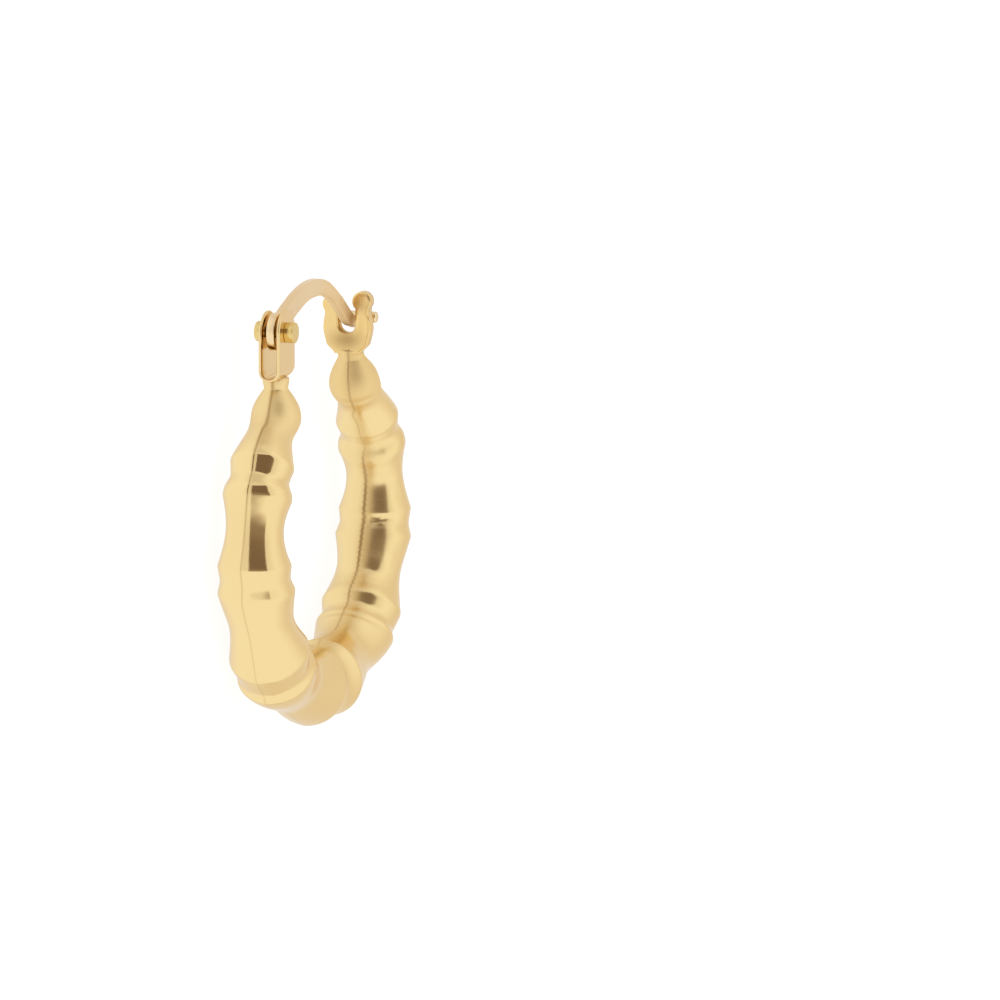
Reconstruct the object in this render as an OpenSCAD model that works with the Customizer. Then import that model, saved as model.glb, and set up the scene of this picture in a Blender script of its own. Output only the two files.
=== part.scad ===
// Bamboo creole earring: a hollow graduated tube with seven pairs of rings, a hinged ear wire and a catch.
// It lies on its side. X runs across the hoop from the hinge to the catch, Y runs up the hoop as it is worn,
// and Z is up from the surface that it lies on. The origin is under the middle of its box. Millimetres.

/* [Hoop] */
// From the centre of the hoop to the middle of the tube, at the sides
hoop_reach = 9.07; // [8.6:0.01:9.6]
// Radius of the thickest ring
tube_r = 2.04; // [1.8:0.01:2.2]
// Radius of the ball that closes each end of the tube
ball_r = 1.22; // [1.22:0.01:1.3]
// Corners around the tube
tube_sides = 24; // [16:2:24]

/* [Hinge strap] */
// Width over both ears
strap_w = 1.13; // [1:0.01:1.2]
// Thickness of the bent strip
strap_wall = 0.19; // [0.15:0.005:0.22]
// Width of the strip, from the front edge to the back edge
strap_deep = 2.37; // [2.1:0.01:2.5]
// Height from the bottom of the bend to the top of the ears
strap_high = 3.6; // [3.4:0.01:3.8]
// Radius of the solder neck under the strap
strap_neck_r = 0.57; // [0.5:0.01:0.6]

/* [Hinge pin] */
// Diameter of the pin inside the ears and the wire
pin_d = 0.6; // [0.5:0.01:0.7]
// Diameter of the two riveted heads
head_d = 1.03; // [0.9:0.01:1.1]
// How far each head stands out from its ear
head_out = 0.45; // [0.3:0.01:0.5]
// Gap around the pin in the ears, and under each head
pin_gap = 0.02; // [0.01:0.005:0.03]

/* [Ear wire] */
// Thickness of the flat wire
wire_thick = 0.44; // [0.4:0.01:0.5]
// Radius of the eye that turns on the pin
eye_r = 0.95; // [0.85:0.01:1]
// How far the flat heel of the eye reaches below the pin
heel_drop = 0.86; // [0.7:0.01:0.94]
// Gap between the pin and the eye
eye_gap = 0.03; // [0.02:0.005:0.05]
// Diameter of the cross peg on the tip
peg_d = 0.57; // [0.5:0.01:0.6]
// Length of the cross peg
peg_len = 2.52; // [2.2:0.01:2.6]

/* [Catch] */
// Width of the fork
fork_w = 2.5; // [2.4:0.01:2.6]
// Thickness of the fork's plate
fork_thick = 0.62; // [0.5:0.01:0.65]
// Width of the slot that takes the ear wire
slot_w = 0.9; // [0.8:0.01:1]
// Diameter of the round knob on each prong
knob_d = 1; // [0.9:0.01:1.05]
// Radius of the solder neck under the fork
fork_neck_r = 0.66; // [0.6:0.01:0.7]

/* [Hidden] */
gold = "#e6c67c";
pale_gold = "#edd39a";
warm_gold = "#dcb766";
round_fn = 48;

// The bend of the hoop. Columns: angle round the centre (-90 is the bottom), reach as a share of hoop_reach
SPINE = [
    [-90, 0.832],
    [-65, 0.845],
    [-45, 0.921],
    [-28, 0.939],
    [0, 1],
    [30, 1.014],
    [49.5, 0.987],
];

// The bamboo of half the hoop, from the bottom up. Columns: angle round the centre, radius as a share of
// tube_r, and how round the stretch up to the next row is at its thinner end (near 0 is a straight cone)
BAMBOO = [
    [-90, 0.83, 0.4],      // waist between the two bottom rings
    [-81.3, 1, 0.16],      // bottom ring
    [-61.5, 0.785, 0.4],   // lowest internode
    [-48.5, 0.945, 0.1],   // foot of the lower pair
    [-45, 0.99, 0.4],      // lower pair, ring
    [-42, 0.9, 0.2],       // lower pair, waist
    [-35, 1, 0.45],        // lower pair, ring
    [-21.1, 0.796, 0.33],  // middle internode
    [-9.2, 0.947, 0.15],   // side pair, ring
    [-5, 0.858, 0.2],      // side pair, waist
    [-0.4, 0.9, 1],        // side pair, ring
    [10.8, 0.702, 0.85],   // upper internode
    [20.5, 0.848, 0.3],    // top pair, crest of the ring
    [22.7, 0.83, 0.16],    // top pair, shoulder of the ring
    [26.2, 0.718, 0.24],   // top pair, waist
    [31.2, 0.787, 0.23],   // top pair, ring
    [42.6, 0.556, 0.5],    // narrow stretch under the ball
    [49.5, 0.588, 0.5],    // end of the tube, inside the ball
];

// The ball above its widest level: it draws in over this height, in this many steps, slowly at first
ball_rise = 1.45;
ball_steps = 8;
ball_shoulder = 2.1;
// Turns the ball's own seam away from the edges of the tube
seam_turn = 11;

// Places on the clasp, measured from the middle of the balls
strap_up = 1.87;
pin_up = 4.26;
pin_shift = 0.04;
strap_shift = 0.075;
fork_shift = -0.75;
fork_lean = 14;
slot_up = 3.12;
knob_up = 4.3;
knob_apart = 1.57;
// The knob of the far prong sits this much lower
far_knob_drop = 0.2;
peg_behind = 0.79;
peg_up = 3.38;
// The strap's lower corners seen from its side, as depth and height: a small front one, a big back one
front_corner = [0.14, 0.14];
back_corner = [1, 0.66];
corner_steps = 8;
// How far a neck reaches into the strap that it carries
neck_sink = 0.18;
// How far a cut runs past what it cuts
past = 1;

// Half the fork's outline. Columns: height above the ball's middle, half width as a share of fork_w / 2
FORK = [
    [1.62, 0.53],
    [1.8, 0.63],
    [1.95, 0.765],
    [2.1, 0.86],
    [2.3, 0.905],
    [2.5, 0.945],
    [2.75, 0.99],
    [2.97, 1],
    [3.37, 0.97],
    [3.67, 0.92],
    [3.9, 0.92],
];

// The ear wire from the pin to its tip. Columns: share of the way across, rise above the pin, strip height
WIRE = [
    [0, 0.36, 0.95],
    [0.13, 0.74, 1],
    [0.23, 1.09, 0.99],
    [0.36, 1.4, 0.89],
    [0.49, 1.41, 0.85],
    [0.6, 1.17, 0.74],
    [0.7, 0.67, 0.64],
    [0.8, -0.08, 0.7],
    [0.89, -0.78, 0.68],
    [0.95, -1.07, 0.56],
    [1, -1.22, 0.54],
];
wire_steps = 4;
wire_past_peg = 0.25;
// Share of the way across over which the wire's slope is taken, and between the places tried for its top
slope_reach = 0.01;
top_step = 0.01;

// Slope of a table's column at row i, taken from the rows on each side
function slope(t, i, c) =
    i == 0 || i == len(t) - 1 ? 0 : (t[i + 1][c] - t[i - 1][c]) / (t[i + 1][0] - t[i - 1][0]);

// The row of a table that a value of its first column falls in
function row_of(t, x, i = 0) = i >= len(t) - 2 || x < t[i + 1][0] ? i : row_of(t, x, i + 1);

// Smooth curve through a table's column: a cubic between two rows that keeps the slope at each
function through(t, x, c) =
    let (i = row_of(t, x), w = t[i + 1][0] - t[i][0], s = (x - t[i][0]) / w)
    (2 * s^3 - 3 * s^2 + 1) * t[i][c] + (s^3 - 2 * s^2 + s) * w * slope(t, i, c)
    + (3 * s^2 - 2 * s^3) * t[i + 1][c] + (s^3 - s^2) * w * slope(t, i + 1, c);

// Rib between two rows: level where it is thin, straight where it is thick, so that the rings have a crest.
// A hyperbola gives this, and the third column says how far its rounded part reaches
function rib_share(u, c) = (sqrt(u * u + c * c) - c) / (sqrt(1 + c * c) - c);
function rib(t, x) =
    let (i = row_of(t, x), s = (x - t[i][0]) / (t[i + 1][0] - t[i][0]), grow = t[i + 1][1] - t[i][1])
    grow > 0 ? t[i][1] + grow * rib_share(s, t[i][2]) : t[i + 1][1] - grow * rib_share(1 - s, t[i][2]);

// Angles of the tube's cross sections over half the hoop, closer together where the rings are
widest_step = 1.7;
fewest_steps = 4;
half_angles = concat(
    [for (i = [0:len(BAMBOO) - 2])
        let (span = BAMBOO[i + 1][0] - BAMBOO[i][0], n = max(fewest_steps, round(span / widest_step)))
        for (k = [0:n - 1]) BAMBOO[i][0] + span * k / n],
    [BAMBOO[len(BAMBOO) - 1][0]]
);

// Angles round the whole hoop, from the hinge end over the bottom to the catch end
last_half = len(half_angles) - 1;
angles = concat(
    [for (i = [last_half:-1:1]) -180 - half_angles[i]],
    [for (a = half_angles) a]
);

// The same angle on the catch side, for a section on either side
function catch_side(a) = a < -90 ? -180 - a : a;
function reach_at(a) = hoop_reach * through(SPINE, catch_side(a), 1);
function radius_at(a) = tube_r * rib(BAMBOO, catch_side(a));

// Middle of the balls, and the height of the parts on them, from the hoop's centre
end_angle = BAMBOO[len(BAMBOO) - 1][0];
ball_x = reach_at(end_angle) * cos(end_angle);
ball_y = reach_at(end_angle) * sin(end_angle);
pin_x = -ball_x + pin_shift;
pin_y = ball_y + pin_up;
fork_x = ball_x + fork_shift;
peg_x = fork_x + peg_behind;
peg_y = ball_y + peg_up;
tip_x = peg_x + wire_past_peg;

// Box of the whole earring, which sets the origin
wire_top = pin_y + max([for (s = [0:top_step:1]) through(WIRE, s, 1) + through(WIRE, s, 2) / 2]);
hoop_low = min([for (a = angles) (reach_at(a) + radius_at(a)) * sin(a)]);
centre_y = -(wire_top + hoop_low) / 2;
lie_z = tube_r;

// The tube's skin: rings of points joined by triangles, with a flat fan over each end
module tube_skin() {
    n = tube_sides;
    rings = len(angles);
    points = [for (a = angles) for (k = [0:n - 1])
        let (turn = 360 * k / n, out = reach_at(a) + radius_at(a) * cos(turn))
        [out * cos(a), out * sin(a), radius_at(a) * sin(turn)]];
    walls = [for (i = [0:rings - 2]) for (k = [0:n - 1])
        let (p = i * n + k, q = i * n + (k + 1) % n)
        each [[p, q + n, p + n], [p, q, q + n]]];
    ends = [[for (k = [n - 1:-1:0]) k], [for (k = [0:n - 1]) (rings - 1) * n + k]];
    polyhedron(points, concat(walls, ends));
}

// Ball that closes an end of the tube and draws in to the solder neck, standing along +Y
module ball_end(neck_r, neck_high) {
    under = [for (k = [1:ball_steps])
        let (a = -90 + 90 * k / ball_steps)
        [ball_r * cos(a), ball_r * sin(a)]];
    over = [for (k = [1:ball_steps])
        let (s = k / ball_steps)
        [ball_r - (ball_r - neck_r) * s^ball_shoulder, ball_rise * s]];
    rotate([-90, seam_turn, 0])
        rotate_extrude($fn = round_fn)
        polygon(concat([[0, -ball_r]], under, over, [[neck_r, neck_high], [0, neck_high]]));
}

// A plate drawn as [height, thickness] and raised along X
module plate_along_x(deep) {
    rotate([90, 0, 90]) translate([0, 0, -deep / 2]) linear_extrude(deep) children();
}

// Long round-bottomed strip outline, from its lowest point up
module stadium(low, high, w) {
    translate([low + w / 2, 0]) circle(d = w, $fn = round_fn);
    translate([low + w / 2, -w / 2]) square([high - low - w / 2, w]);
}

// Side view of the strap: round ears above, an elliptical corner at the front and at the back below
function corner(size, side, edge) = [for (k = [0:corner_steps])
    let (a = 90 * k / corner_steps)
    [edge - side * size[0] * (1 - cos(a)), size[1] * (1 - sin(a))]];
module strap_side() {
    half = strap_deep / 2;
    translate([0, strap_high - half]) circle(r = half, $fn = round_fn);
    front = corner(front_corner, -1, -half);
    back = corner(back_corner, 1, half);
    polygon(concat([[half, strap_high - half]], back, [for (k = [corner_steps:-1:0]) front[k]],
        [[-half, strap_high - half]]));
}

// Strip bent to a U, with a hole in each ear for the pin
module strap() {
    difference() {
        intersection() {
            plate_along_x(strap_deep + 2 * past) difference() {
                stadium(0, strap_high + past, strap_w);
                stadium(strap_wall, strap_high + 2 * past, strap_w - 2 * strap_wall);
            }
            translate([strap_shift, 0, -strap_w]) linear_extrude(2 * strap_w) strap_side();
        }
        translate([0, pin_up - strap_up, -strap_w])
            cylinder(d = pin_d + 2 * pin_gap, h = 2 * strap_w, $fn = round_fn);
    }
}

// Slotted catch plate with two knobbed prongs
module fork() {
    half = fork_w / 2;
    plate_along_x(fork_thick) {
        difference() {
            polygon(concat([for (r = FORK) [r[0], r[1] * half]],
                [for (i = [len(FORK) - 1:-1:0]) [FORK[i][0], -FORK[i][1] * half]]));
            translate([slot_up, 0]) circle(d = slot_w, $fn = round_fn);
            translate([slot_up, -slot_w / 2]) square([knob_up - slot_up, slot_w]);
        }
        translate([knob_up, knob_apart / 2]) circle(d = knob_d, $fn = round_fn);
        translate([knob_up - far_knob_drop, -knob_apart / 2]) circle(d = knob_d, $fn = round_fn);
    }
}

// Side outline of the wire's strip from the eye to its tip
module wire_strip() {
    n = wire_steps * (len(WIRE) - 1);
    shares = [for (i = [0:len(WIRE) - 2]) for (k = [0:wire_steps - 1])
        WIRE[i][0] + (WIRE[i + 1][0] - WIRE[i][0]) * k / wire_steps];
    run = concat(shares, [1]);
    long = tip_x - pin_x;
    tilt = [for (s = run)
        let (from = max(0, s - slope_reach), to = min(1, s + slope_reach))
        atan((through(WIRE, to, 1) - through(WIRE, from, 1)) / (long * (to - from)))];
    // Half the strip's height, measured straight up, so it is divided by the cosine of the wire's slope
    half = [for (i = [0:n]) through(WIRE, run[i], 2) / 2 / cos(tilt[i])];
    upper = [for (i = [0:n]) [run[i] * long, through(WIRE, run[i], 1) + half[i]]];
    lower = [for (i = [n:-1:0]) [run[i] * long, through(WIRE, run[i], 1) - half[i]]];
    polygon(concat(upper, lower));
}

module bamboo_hoop() {
    color(gold) translate([0, centre_y, lie_z]) {
        tube_skin();
        translate([-ball_x, ball_y, 0]) ball_end(strap_neck_r, strap_up + neck_sink);
        translate([ball_x, ball_y, 0]) rotate([0, 0, fork_lean]) ball_end(fork_neck_r, strap_up);
        translate([pin_x, ball_y + strap_up, 0]) strap();
        translate([fork_x, ball_y, 0]) fork();
    }
}

module hinge_pin() {
    color(warm_gold) translate([pin_x, centre_y + pin_y, lie_z]) {
        half = strap_w / 2 + pin_gap;
        cylinder(d = pin_d, h = 2 * half + head_out, center = true, $fn = round_fn);
        for (side = [-1, 1])
            translate([0, 0, side * (half + head_out / 2)])
            cylinder(d = head_d, h = head_out, center = true, $fn = round_fn);
    }
}

module ear_wire() {
    color(pale_gold) translate([0, centre_y, lie_z]) {
        translate([pin_x, pin_y, 0]) difference() {
            translate([0, 0, -wire_thick / 2]) linear_extrude(wire_thick) {
                wire_strip();
                intersection() {
                    circle(r = eye_r, $fn = round_fn);
                    translate([-eye_r, -heel_drop]) square([2 * eye_r, eye_r + heel_drop]);
                }
            }
            translate([0, 0, -wire_thick])
                cylinder(d = pin_d + 2 * eye_gap, h = 2 * wire_thick, $fn = round_fn);
        }
        translate([peg_x, peg_y, 0]) cylinder(d = peg_d, h = peg_len, center = true, $fn = round_fn);
    }
}

bamboo_hoop();
hinge_pin();
ear_wire();
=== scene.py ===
# %% [markdown]
# # A bamboo creole earring in polished gold
#
# Such an earring is usually stamped from thin sheet gold: two half shells are soldered along the middle of
# the hoop, a bent strap and a slotted plate are soldered on its ends, and a flat wire turns on a rivet.
# Each piece below is a surface worked out with numpy, so that its curves are smooth enough to carry the long
# clean reflections of polished metal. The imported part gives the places, and the pieces are laid over it.

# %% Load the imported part
import math

import bpy
import numpy as np
from mathutils import Matrix, Vector
from mathutils.geometry import delaunay_2d_cdt


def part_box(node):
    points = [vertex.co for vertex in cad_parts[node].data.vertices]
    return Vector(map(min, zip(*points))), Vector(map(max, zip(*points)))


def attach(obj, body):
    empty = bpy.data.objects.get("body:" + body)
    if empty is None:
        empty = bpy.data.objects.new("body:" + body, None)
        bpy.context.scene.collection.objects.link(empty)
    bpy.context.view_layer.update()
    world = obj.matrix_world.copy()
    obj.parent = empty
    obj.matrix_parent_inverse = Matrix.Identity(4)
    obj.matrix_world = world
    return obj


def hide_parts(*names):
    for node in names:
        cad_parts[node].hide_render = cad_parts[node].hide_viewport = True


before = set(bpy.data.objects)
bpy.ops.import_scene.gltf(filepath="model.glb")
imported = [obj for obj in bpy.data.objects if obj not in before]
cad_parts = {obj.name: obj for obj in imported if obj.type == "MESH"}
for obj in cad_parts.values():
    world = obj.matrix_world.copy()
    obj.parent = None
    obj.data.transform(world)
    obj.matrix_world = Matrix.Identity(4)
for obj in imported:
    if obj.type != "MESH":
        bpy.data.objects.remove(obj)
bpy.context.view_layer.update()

MM = 0.001

# %% [markdown]
# ## Sizes
#
# The earring lies on its side: X runs across the hoop from the hinge to the catch, Y runs up the hoop as it
# is worn, and Z is up from the floor. All sizes are in millimetres here, and a piece is turned into metres
# when its mesh is made. The pin's box gives the middle plane of the hoop and the axis of the hinge.

# %% Driving sizes and measured places
pin_low, pin_high = [np.array(corner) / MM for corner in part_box("hinge_pin")]
hoop_low, hoop_high = [np.array(corner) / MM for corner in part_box("bamboo_hoop")]
PIN_X, PIN_Y, MIDDLE_Z = (pin_low + pin_high) / 2
HOOP_REACH = 9.07
TUBE_R = MIDDLE_Z
STRAP_BALL_R = 1.13
FORK_BALL_R = 1.1
BALL_RISE = 1.45
BALL_SHOULDER = 2.1
STRAP_NECK_R = 0.6
FORK_NECK_R = 0.66
NECK_HIGH = 1.87
NECK_SINK = 0.18
FORK_LEAN = math.radians(14)

# The bend of the hoop. Columns: angle round the centre (-90 is the bottom), reach as a share of HOOP_REACH
SPINE = np.array([
    [-90, 0.832],
    [-65, 0.845],
    [-45, 0.921],
    [-28, 0.939],
    [0, 1],
    [30, 1.014],
    [49.5, 0.987],
])

# The bamboo of half the hoop. Columns: angle round the centre, radius as a share of TUBE_R, and how round the
# stretch up to the next row is at its thinner end (near 0 is a straight cone)
BAMBOO = np.array([
    [-90, 0.83, 0.4],      # waist between the two bottom rings
    [-81.3, 1, 0.16],      # bottom ring
    [-61.5, 0.785, 0.4],   # lowest internode
    [-48.5, 0.945, 0.1],   # foot of the lower pair
    [-45, 0.99, 0.4],      # lower pair, ring
    [-42, 0.9, 0.2],       # lower pair, waist
    [-35, 1, 0.45],        # lower pair, ring
    [-21.1, 0.796, 0.33],  # middle internode
    [-9.2, 0.947, 0.15],   # side pair, ring
    [-5, 0.858, 0.2],      # side pair, waist
    [-0.4, 0.9, 1],        # side pair, ring
    [10.8, 0.702, 0.85],   # upper internode
    [20.5, 0.848, 0.3],    # top pair, crest of the ring
    [22.7, 0.83, 0.16],    # top pair, shoulder of the ring
    [26.2, 0.718, 0.24],   # top pair, waist
    [31.2, 0.787, 0.23],   # top pair, ring
    [42.6, 0.556, 0.5],    # narrow stretch under the ball
    [49.5, 0.588, 0.5],    # end of the tube, inside the ball
])
CREST_REACH = 0.6
END_ANGLE = BAMBOO[-1, 0]


def through(table, x):
    """Smooth curve through a table: between two rows a cubic that keeps, at each row, the slope from the row
    before it to the row after it. It is level at both ends."""
    knots, values = table[:, 0], table[:, 1]
    slopes = np.zeros(len(knots))
    slopes[1:-1] = (values[2:] - values[:-2]) / (knots[2:] - knots[:-2])
    i = np.clip(np.searchsorted(knots, x, side="right") - 1, 0, len(knots) - 2)
    wide = knots[i + 1] - knots[i]
    s = np.clip((x - knots[i]) / wide, 0, 1)
    from_rows = (2 * s**3 - 3 * s**2 + 1) * values[i] + (3 * s**2 - 2 * s**3) * values[i + 1]
    from_slopes = (s**3 - 2 * s**2 + s) * slopes[i] + (s**3 - s**2) * slopes[i + 1]
    return from_rows + wide * from_slopes


def rib(table, x):
    """Profile of the rings: level where the tube is thin and straight where it is thick, so that the rings
    have a crest. Between two rows it runs along the hyperbola sqrt(u^2 + c^2) from the lower value to the
    higher one, with c from the third column."""
    knots, values = table[:, 0], table[:, 1]
    i = np.clip(np.searchsorted(knots, x, side="right") - 1, 0, len(knots) - 2)
    share = np.clip((x - knots[i]) / (knots[i + 1] - knots[i]), 0, 1)
    low, high = np.minimum(values[i], values[i + 1]), np.maximum(values[i], values[i + 1])
    u = np.where(values[i + 1] > values[i], share, 1 - share)
    c = table[i, 2]
    return low + (high - low) * (np.sqrt(u * u + c * c) - c) / (np.sqrt(1 + c * c) - c)


def fade(x, start, stop):
    """Share that goes from 0 at start to 1 at stop as 3 s^2 - 2 s^3."""
    s = np.clip((x - start) / (stop - start), 0, 1)
    return s * s * (3 - 2 * s)


def tube_radius(angle):
    """Radius of the tube at an angle in degrees. A weighted mean over a short stretch rounds the crests."""
    stretch = CREST_REACH * np.array([-1, -0.5, 0, 0.5, 1])
    weights = np.array([1, 2, 2, 2, 1]) / 8
    mirrored = np.maximum(angle[..., None] + stretch, -180 - angle[..., None] - stretch)
    return TUBE_R * (rib(BAMBOO, np.clip(mirrored, -90, END_ANGLE)) * weights).sum(axis=-1)


def spine_point(angle):
    """Point of the tube's middle line at an angle in degrees, for the catch side, as an array (..., 2)."""
    reach = HOOP_REACH * through(SPINE, angle)
    return np.stack([reach * np.cos(np.radians(angle)), reach * np.sin(np.radians(angle))], axis=-1)


BALL_X, BALL_Y = spine_point(np.array(END_ANGLE))
lowest_angles = np.linspace(-90, 0, 1801)
lowest_reach = HOOP_REACH * through(SPINE, lowest_angles) + tube_radius(lowest_angles)
CENTRE_Y = hoop_low[1] - np.min(lowest_reach * np.sin(np.radians(lowest_angles)))
CENTRE = np.array([0, CENTRE_Y, MIDDLE_Z])
print("hoop's centre", CENTRE.round(3), "ball", BALL_X.round(3), BALL_Y.round(3))

# %% [markdown]
# ## From arrays to pieces
#
# A mesh is only a list of points and a list of faces. One helper puts the arrays into Blender, checks that
# the faces look outwards, and ties the piece to its body, so that the hinge can move it later. The faces
# look outwards when the volume that they enclose comes out positive.

# %% Helpers that make a piece from arrays


def enclosed(points, triangles):
    """Volume inside closed triangles: a sixth of the sum of a . (b x c), positive when they look outwards."""
    a, b, c = (points[triangles[:, k]] for k in range(3))
    return np.einsum("ij,ij->i", a, np.cross(b, c)).sum() / 6


def make_piece(name, points, quads, triangles, body, slot):
    """Makes a smooth mesh, facing outwards, from millimetre points, quads (n, 4) and triangles (m, 3)."""
    points, quads, triangles = np.asarray(points, float), np.asarray(quads, int), np.asarray(triangles, int)
    quads, triangles = quads.reshape(-1, 4), triangles.reshape(-1, 3)
    halves = np.concatenate([quads[:, [0, 1, 2]], quads[:, [0, 2, 3]], triangles])
    if enclosed(points, halves) < 0:
        quads, triangles = quads[:, ::-1], triangles[:, ::-1]
    mesh = bpy.data.meshes.new(name)
    mesh.from_pydata((points * MM).tolist(), [], quads.tolist() + triangles.tolist())
    mesh.validate()
    mesh.shade_smooth()
    piece = bpy.data.objects.new(name, mesh)
    bpy.context.scene.collection.objects.link(piece)
    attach(piece, body)
    print(name, "triangles", len(halves), "mm3", round(abs(enclosed(points, halves)), 2))
    return piece


def give_attribute(piece, name, values):
    """Puts one number for each point on a piece, for the materials to read."""
    attribute = piece.data.attributes.new(name, "FLOAT", "POINT")
    attribute.data.foreach_set("value", np.asarray(values, np.float32).ravel())


def joined_rings(rings):
    """Points and faces of rings (rows, around, 3) joined to their neighbours, with a fan over each end."""
    rows, around = rings.shape[:2]
    index = np.arange(rows * around).reshape(rows, around)
    along = np.roll(index, -1, axis=1)
    quads = np.stack([index[:-1], along[:-1], along[1:], index[1:]], axis=-1).reshape(-1, 4)
    first_pole, last_pole = rows * around, rows * around + 1
    first_fan = np.stack([along[0], index[0], np.full(around, first_pole)], axis=-1)
    last_fan = np.stack([index[-1], along[-1], np.full(around, last_pole)], axis=-1)
    points = np.concatenate([rings.reshape(-1, 3), rings[[0, -1]].mean(axis=1)])
    return points, quads, np.concatenate([first_fan, last_fan])


# %% [markdown]
# ## The bamboo tube
#
# The hoop is a round tube whose radius swells at each pair of rings and shrinks between them, and at each end
# it turns into a ball that draws in to a solder neck. A plain tube and a ball put over each other would meet
# in a sharp crease. Here both are written as a distance from their skin, and a smooth minimum joins the two
# distances with a small fillet. From the middle of each cross section, rays walk out to where the joined
# distance is nought, found by halving, and the points that they reach are the skin.

# %% The distances that describe the tube and its balls
FILLET = 0.3
STRAP_OUTER_FILLET = 0.35
FORK_OUTER_FILLET = 0.9
STRAP_FLARE = 0.06


def tube_distance(p):
    """Distance from the bent tube: from the middle line's point at the same angle, less the radius there."""
    across = np.abs(p[..., 0])
    angle = np.clip(np.degrees(np.arctan2(p[..., 1], across)), -90, END_ANGLE)
    middle = spine_point(angle)
    away = np.hypot(across - middle[..., 0], p[..., 1] - middle[..., 1])
    return np.hypot(away, p[..., 2]) - tube_radius(angle)


def ball_distance(p, side, lean, ball_r, neck_r, flare):
    """Distance from one end's ball: a sphere below its widest level, and above it a wall that draws in to the
    neck as the share of BALL_RISE to the power BALL_SHOULDER. Solder flares the top of the neck."""
    x, y = side * p[..., 0] - BALL_X, p[..., 1] - BALL_Y
    rise = y * math.cos(lean) - x * math.sin(lean)
    wide = np.hypot(x * math.cos(lean) + y * math.sin(lean), p[..., 2])
    share = np.clip(rise / BALL_RISE, 0, 1)
    wall = wide - ball_r + (ball_r - neck_r) * share**BALL_SHOULDER - flare * fade(rise, BALL_RISE, NECK_HIGH)
    return np.where(rise < 0, np.hypot(wide, rise) - ball_r, np.maximum(wall, rise - NECK_HIGH - NECK_SINK))


def smooth_lower(a, b, fillet):
    """The lower of two distances, with the corner between them filled over the given width."""
    share = np.clip(0.5 + 0.5 * (b - a) / fillet, 0, 1)
    return b + (a - b) * share - fillet * share * (1 - share)


def skin_distance(p):
    """Distance from the whole skin: the tube, the strap's ball and the fork's ball, joined with fillets that
    grow from FILLET on the inside of the hoop to a bigger one on its outside."""
    outside = fade(np.abs(p[..., 0]), BALL_X, BALL_X + FORK_BALL_R)
    strap_fillet = FILLET + (STRAP_OUTER_FILLET - FILLET) * outside
    fork_fillet = FILLET + (FORK_OUTER_FILLET - FILLET) * outside
    strap_ball = ball_distance(p, -1, 0, STRAP_BALL_R, STRAP_NECK_R, STRAP_FLARE)
    fork_ball = ball_distance(p, 1, FORK_LEAN, FORK_BALL_R, FORK_NECK_R, 0)
    return smooth_lower(smooth_lower(tube_distance(p), strap_ball, strap_fillet), fork_ball, fork_fillet)


# %% [markdown]
# ### Where the cross sections lie
#
# Round the hoop the sections fan out from the centre. Near an end they turn about a pivot outside the tube
# until they are level with the ball, and then they rise to the neck. The lines of the mesh follow the solder
# seam on the outside and on the inside of the hoop, and they lie closer together there.

# %% Middle and tilt of every section, and the directions round it
TURN_ANGLE = 40
TUBE_SECTIONS = 290
ELBOW_SECTIONS = 26
NECK_SECTIONS = 34
SEAM_STEPS = np.array([0, 0.4, 0.8, 1.2, 1.7, 2.3, 3, 3.8, 4.8, 6, 7.6, 9.6, 12, 15, 18.5, 22.5])
PLAIN_STEPS = np.linspace(26.5, 90, 16)


def half_sections(lean):
    """Middles (n, 2) and tilts (n) in radians of the sections from the bottom of the hoop up to one neck."""
    angles = np.linspace(-90, TURN_ANGLE, TUBE_SECTIONS)
    turn = math.radians(TURN_ANGLE)
    ball = np.array([BALL_X, BALL_Y])
    # The pivot is on the line from the centre at TURN_ANGLE and on the level line through the ball
    matrix = np.array([[math.cos(turn), -math.cos(lean)], [math.sin(turn), -math.sin(lean)]])
    pivot = np.linalg.solve(matrix, ball)[0] * np.array([math.cos(turn), math.sin(turn)])
    share = np.linspace(0, 1, ELBOW_SECTIONS + 1)[1:]
    tilt = turn + (lean - turn) * share
    start = np.linalg.norm(spine_point(np.array(TURN_ANGLE)) - pivot)
    gap = start + (np.linalg.norm(ball - pivot) - start) * share
    elbow = pivot - gap[:, None] * np.stack([np.cos(tilt), np.sin(tilt)], axis=-1)
    rise = np.linspace(0, NECK_HIGH + NECK_SINK, NECK_SECTIONS + 1)[1:]
    neck = ball + rise[:, None] * np.array([-math.sin(lean), math.cos(lean)])
    middles = np.concatenate([spine_point(angles), elbow, neck])
    return middles, np.concatenate([np.radians(angles), tilt, np.full(NECK_SECTIONS, lean)])


strap_middles, strap_tilts = half_sections(0)
fork_middles, fork_tilts = half_sections(FORK_LEAN)
middles = np.concatenate([strap_middles[:0:-1] * [-1, 1], fork_middles])
tilts = np.concatenate([strap_tilts[:0:-1], fork_tilts])
sides = np.concatenate([-np.ones(len(strap_tilts) - 1), np.ones(len(fork_tilts))])
quarter = np.concatenate([SEAM_STEPS, PLAIN_STEPS])
half_turn = np.concatenate([quarter, 180 - quarter[-2:0:-1]])
around = np.radians(np.concatenate([half_turn, 180 + half_turn]))
print("sections", len(middles), "points round each", len(around))

# %% [markdown]
# ### Seam, lower rings and drops
#
# The two half shells meet in a low ridge with a hairline groove, which wanders a little to each side. The
# groove is wide and deep near the necks and almost closed at the bottom. Inside the catch leg the rings are
# lower beside the seam, as if filed, with a few small drops. All of this is a small change of the distance
# that each ray has walked.

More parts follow.
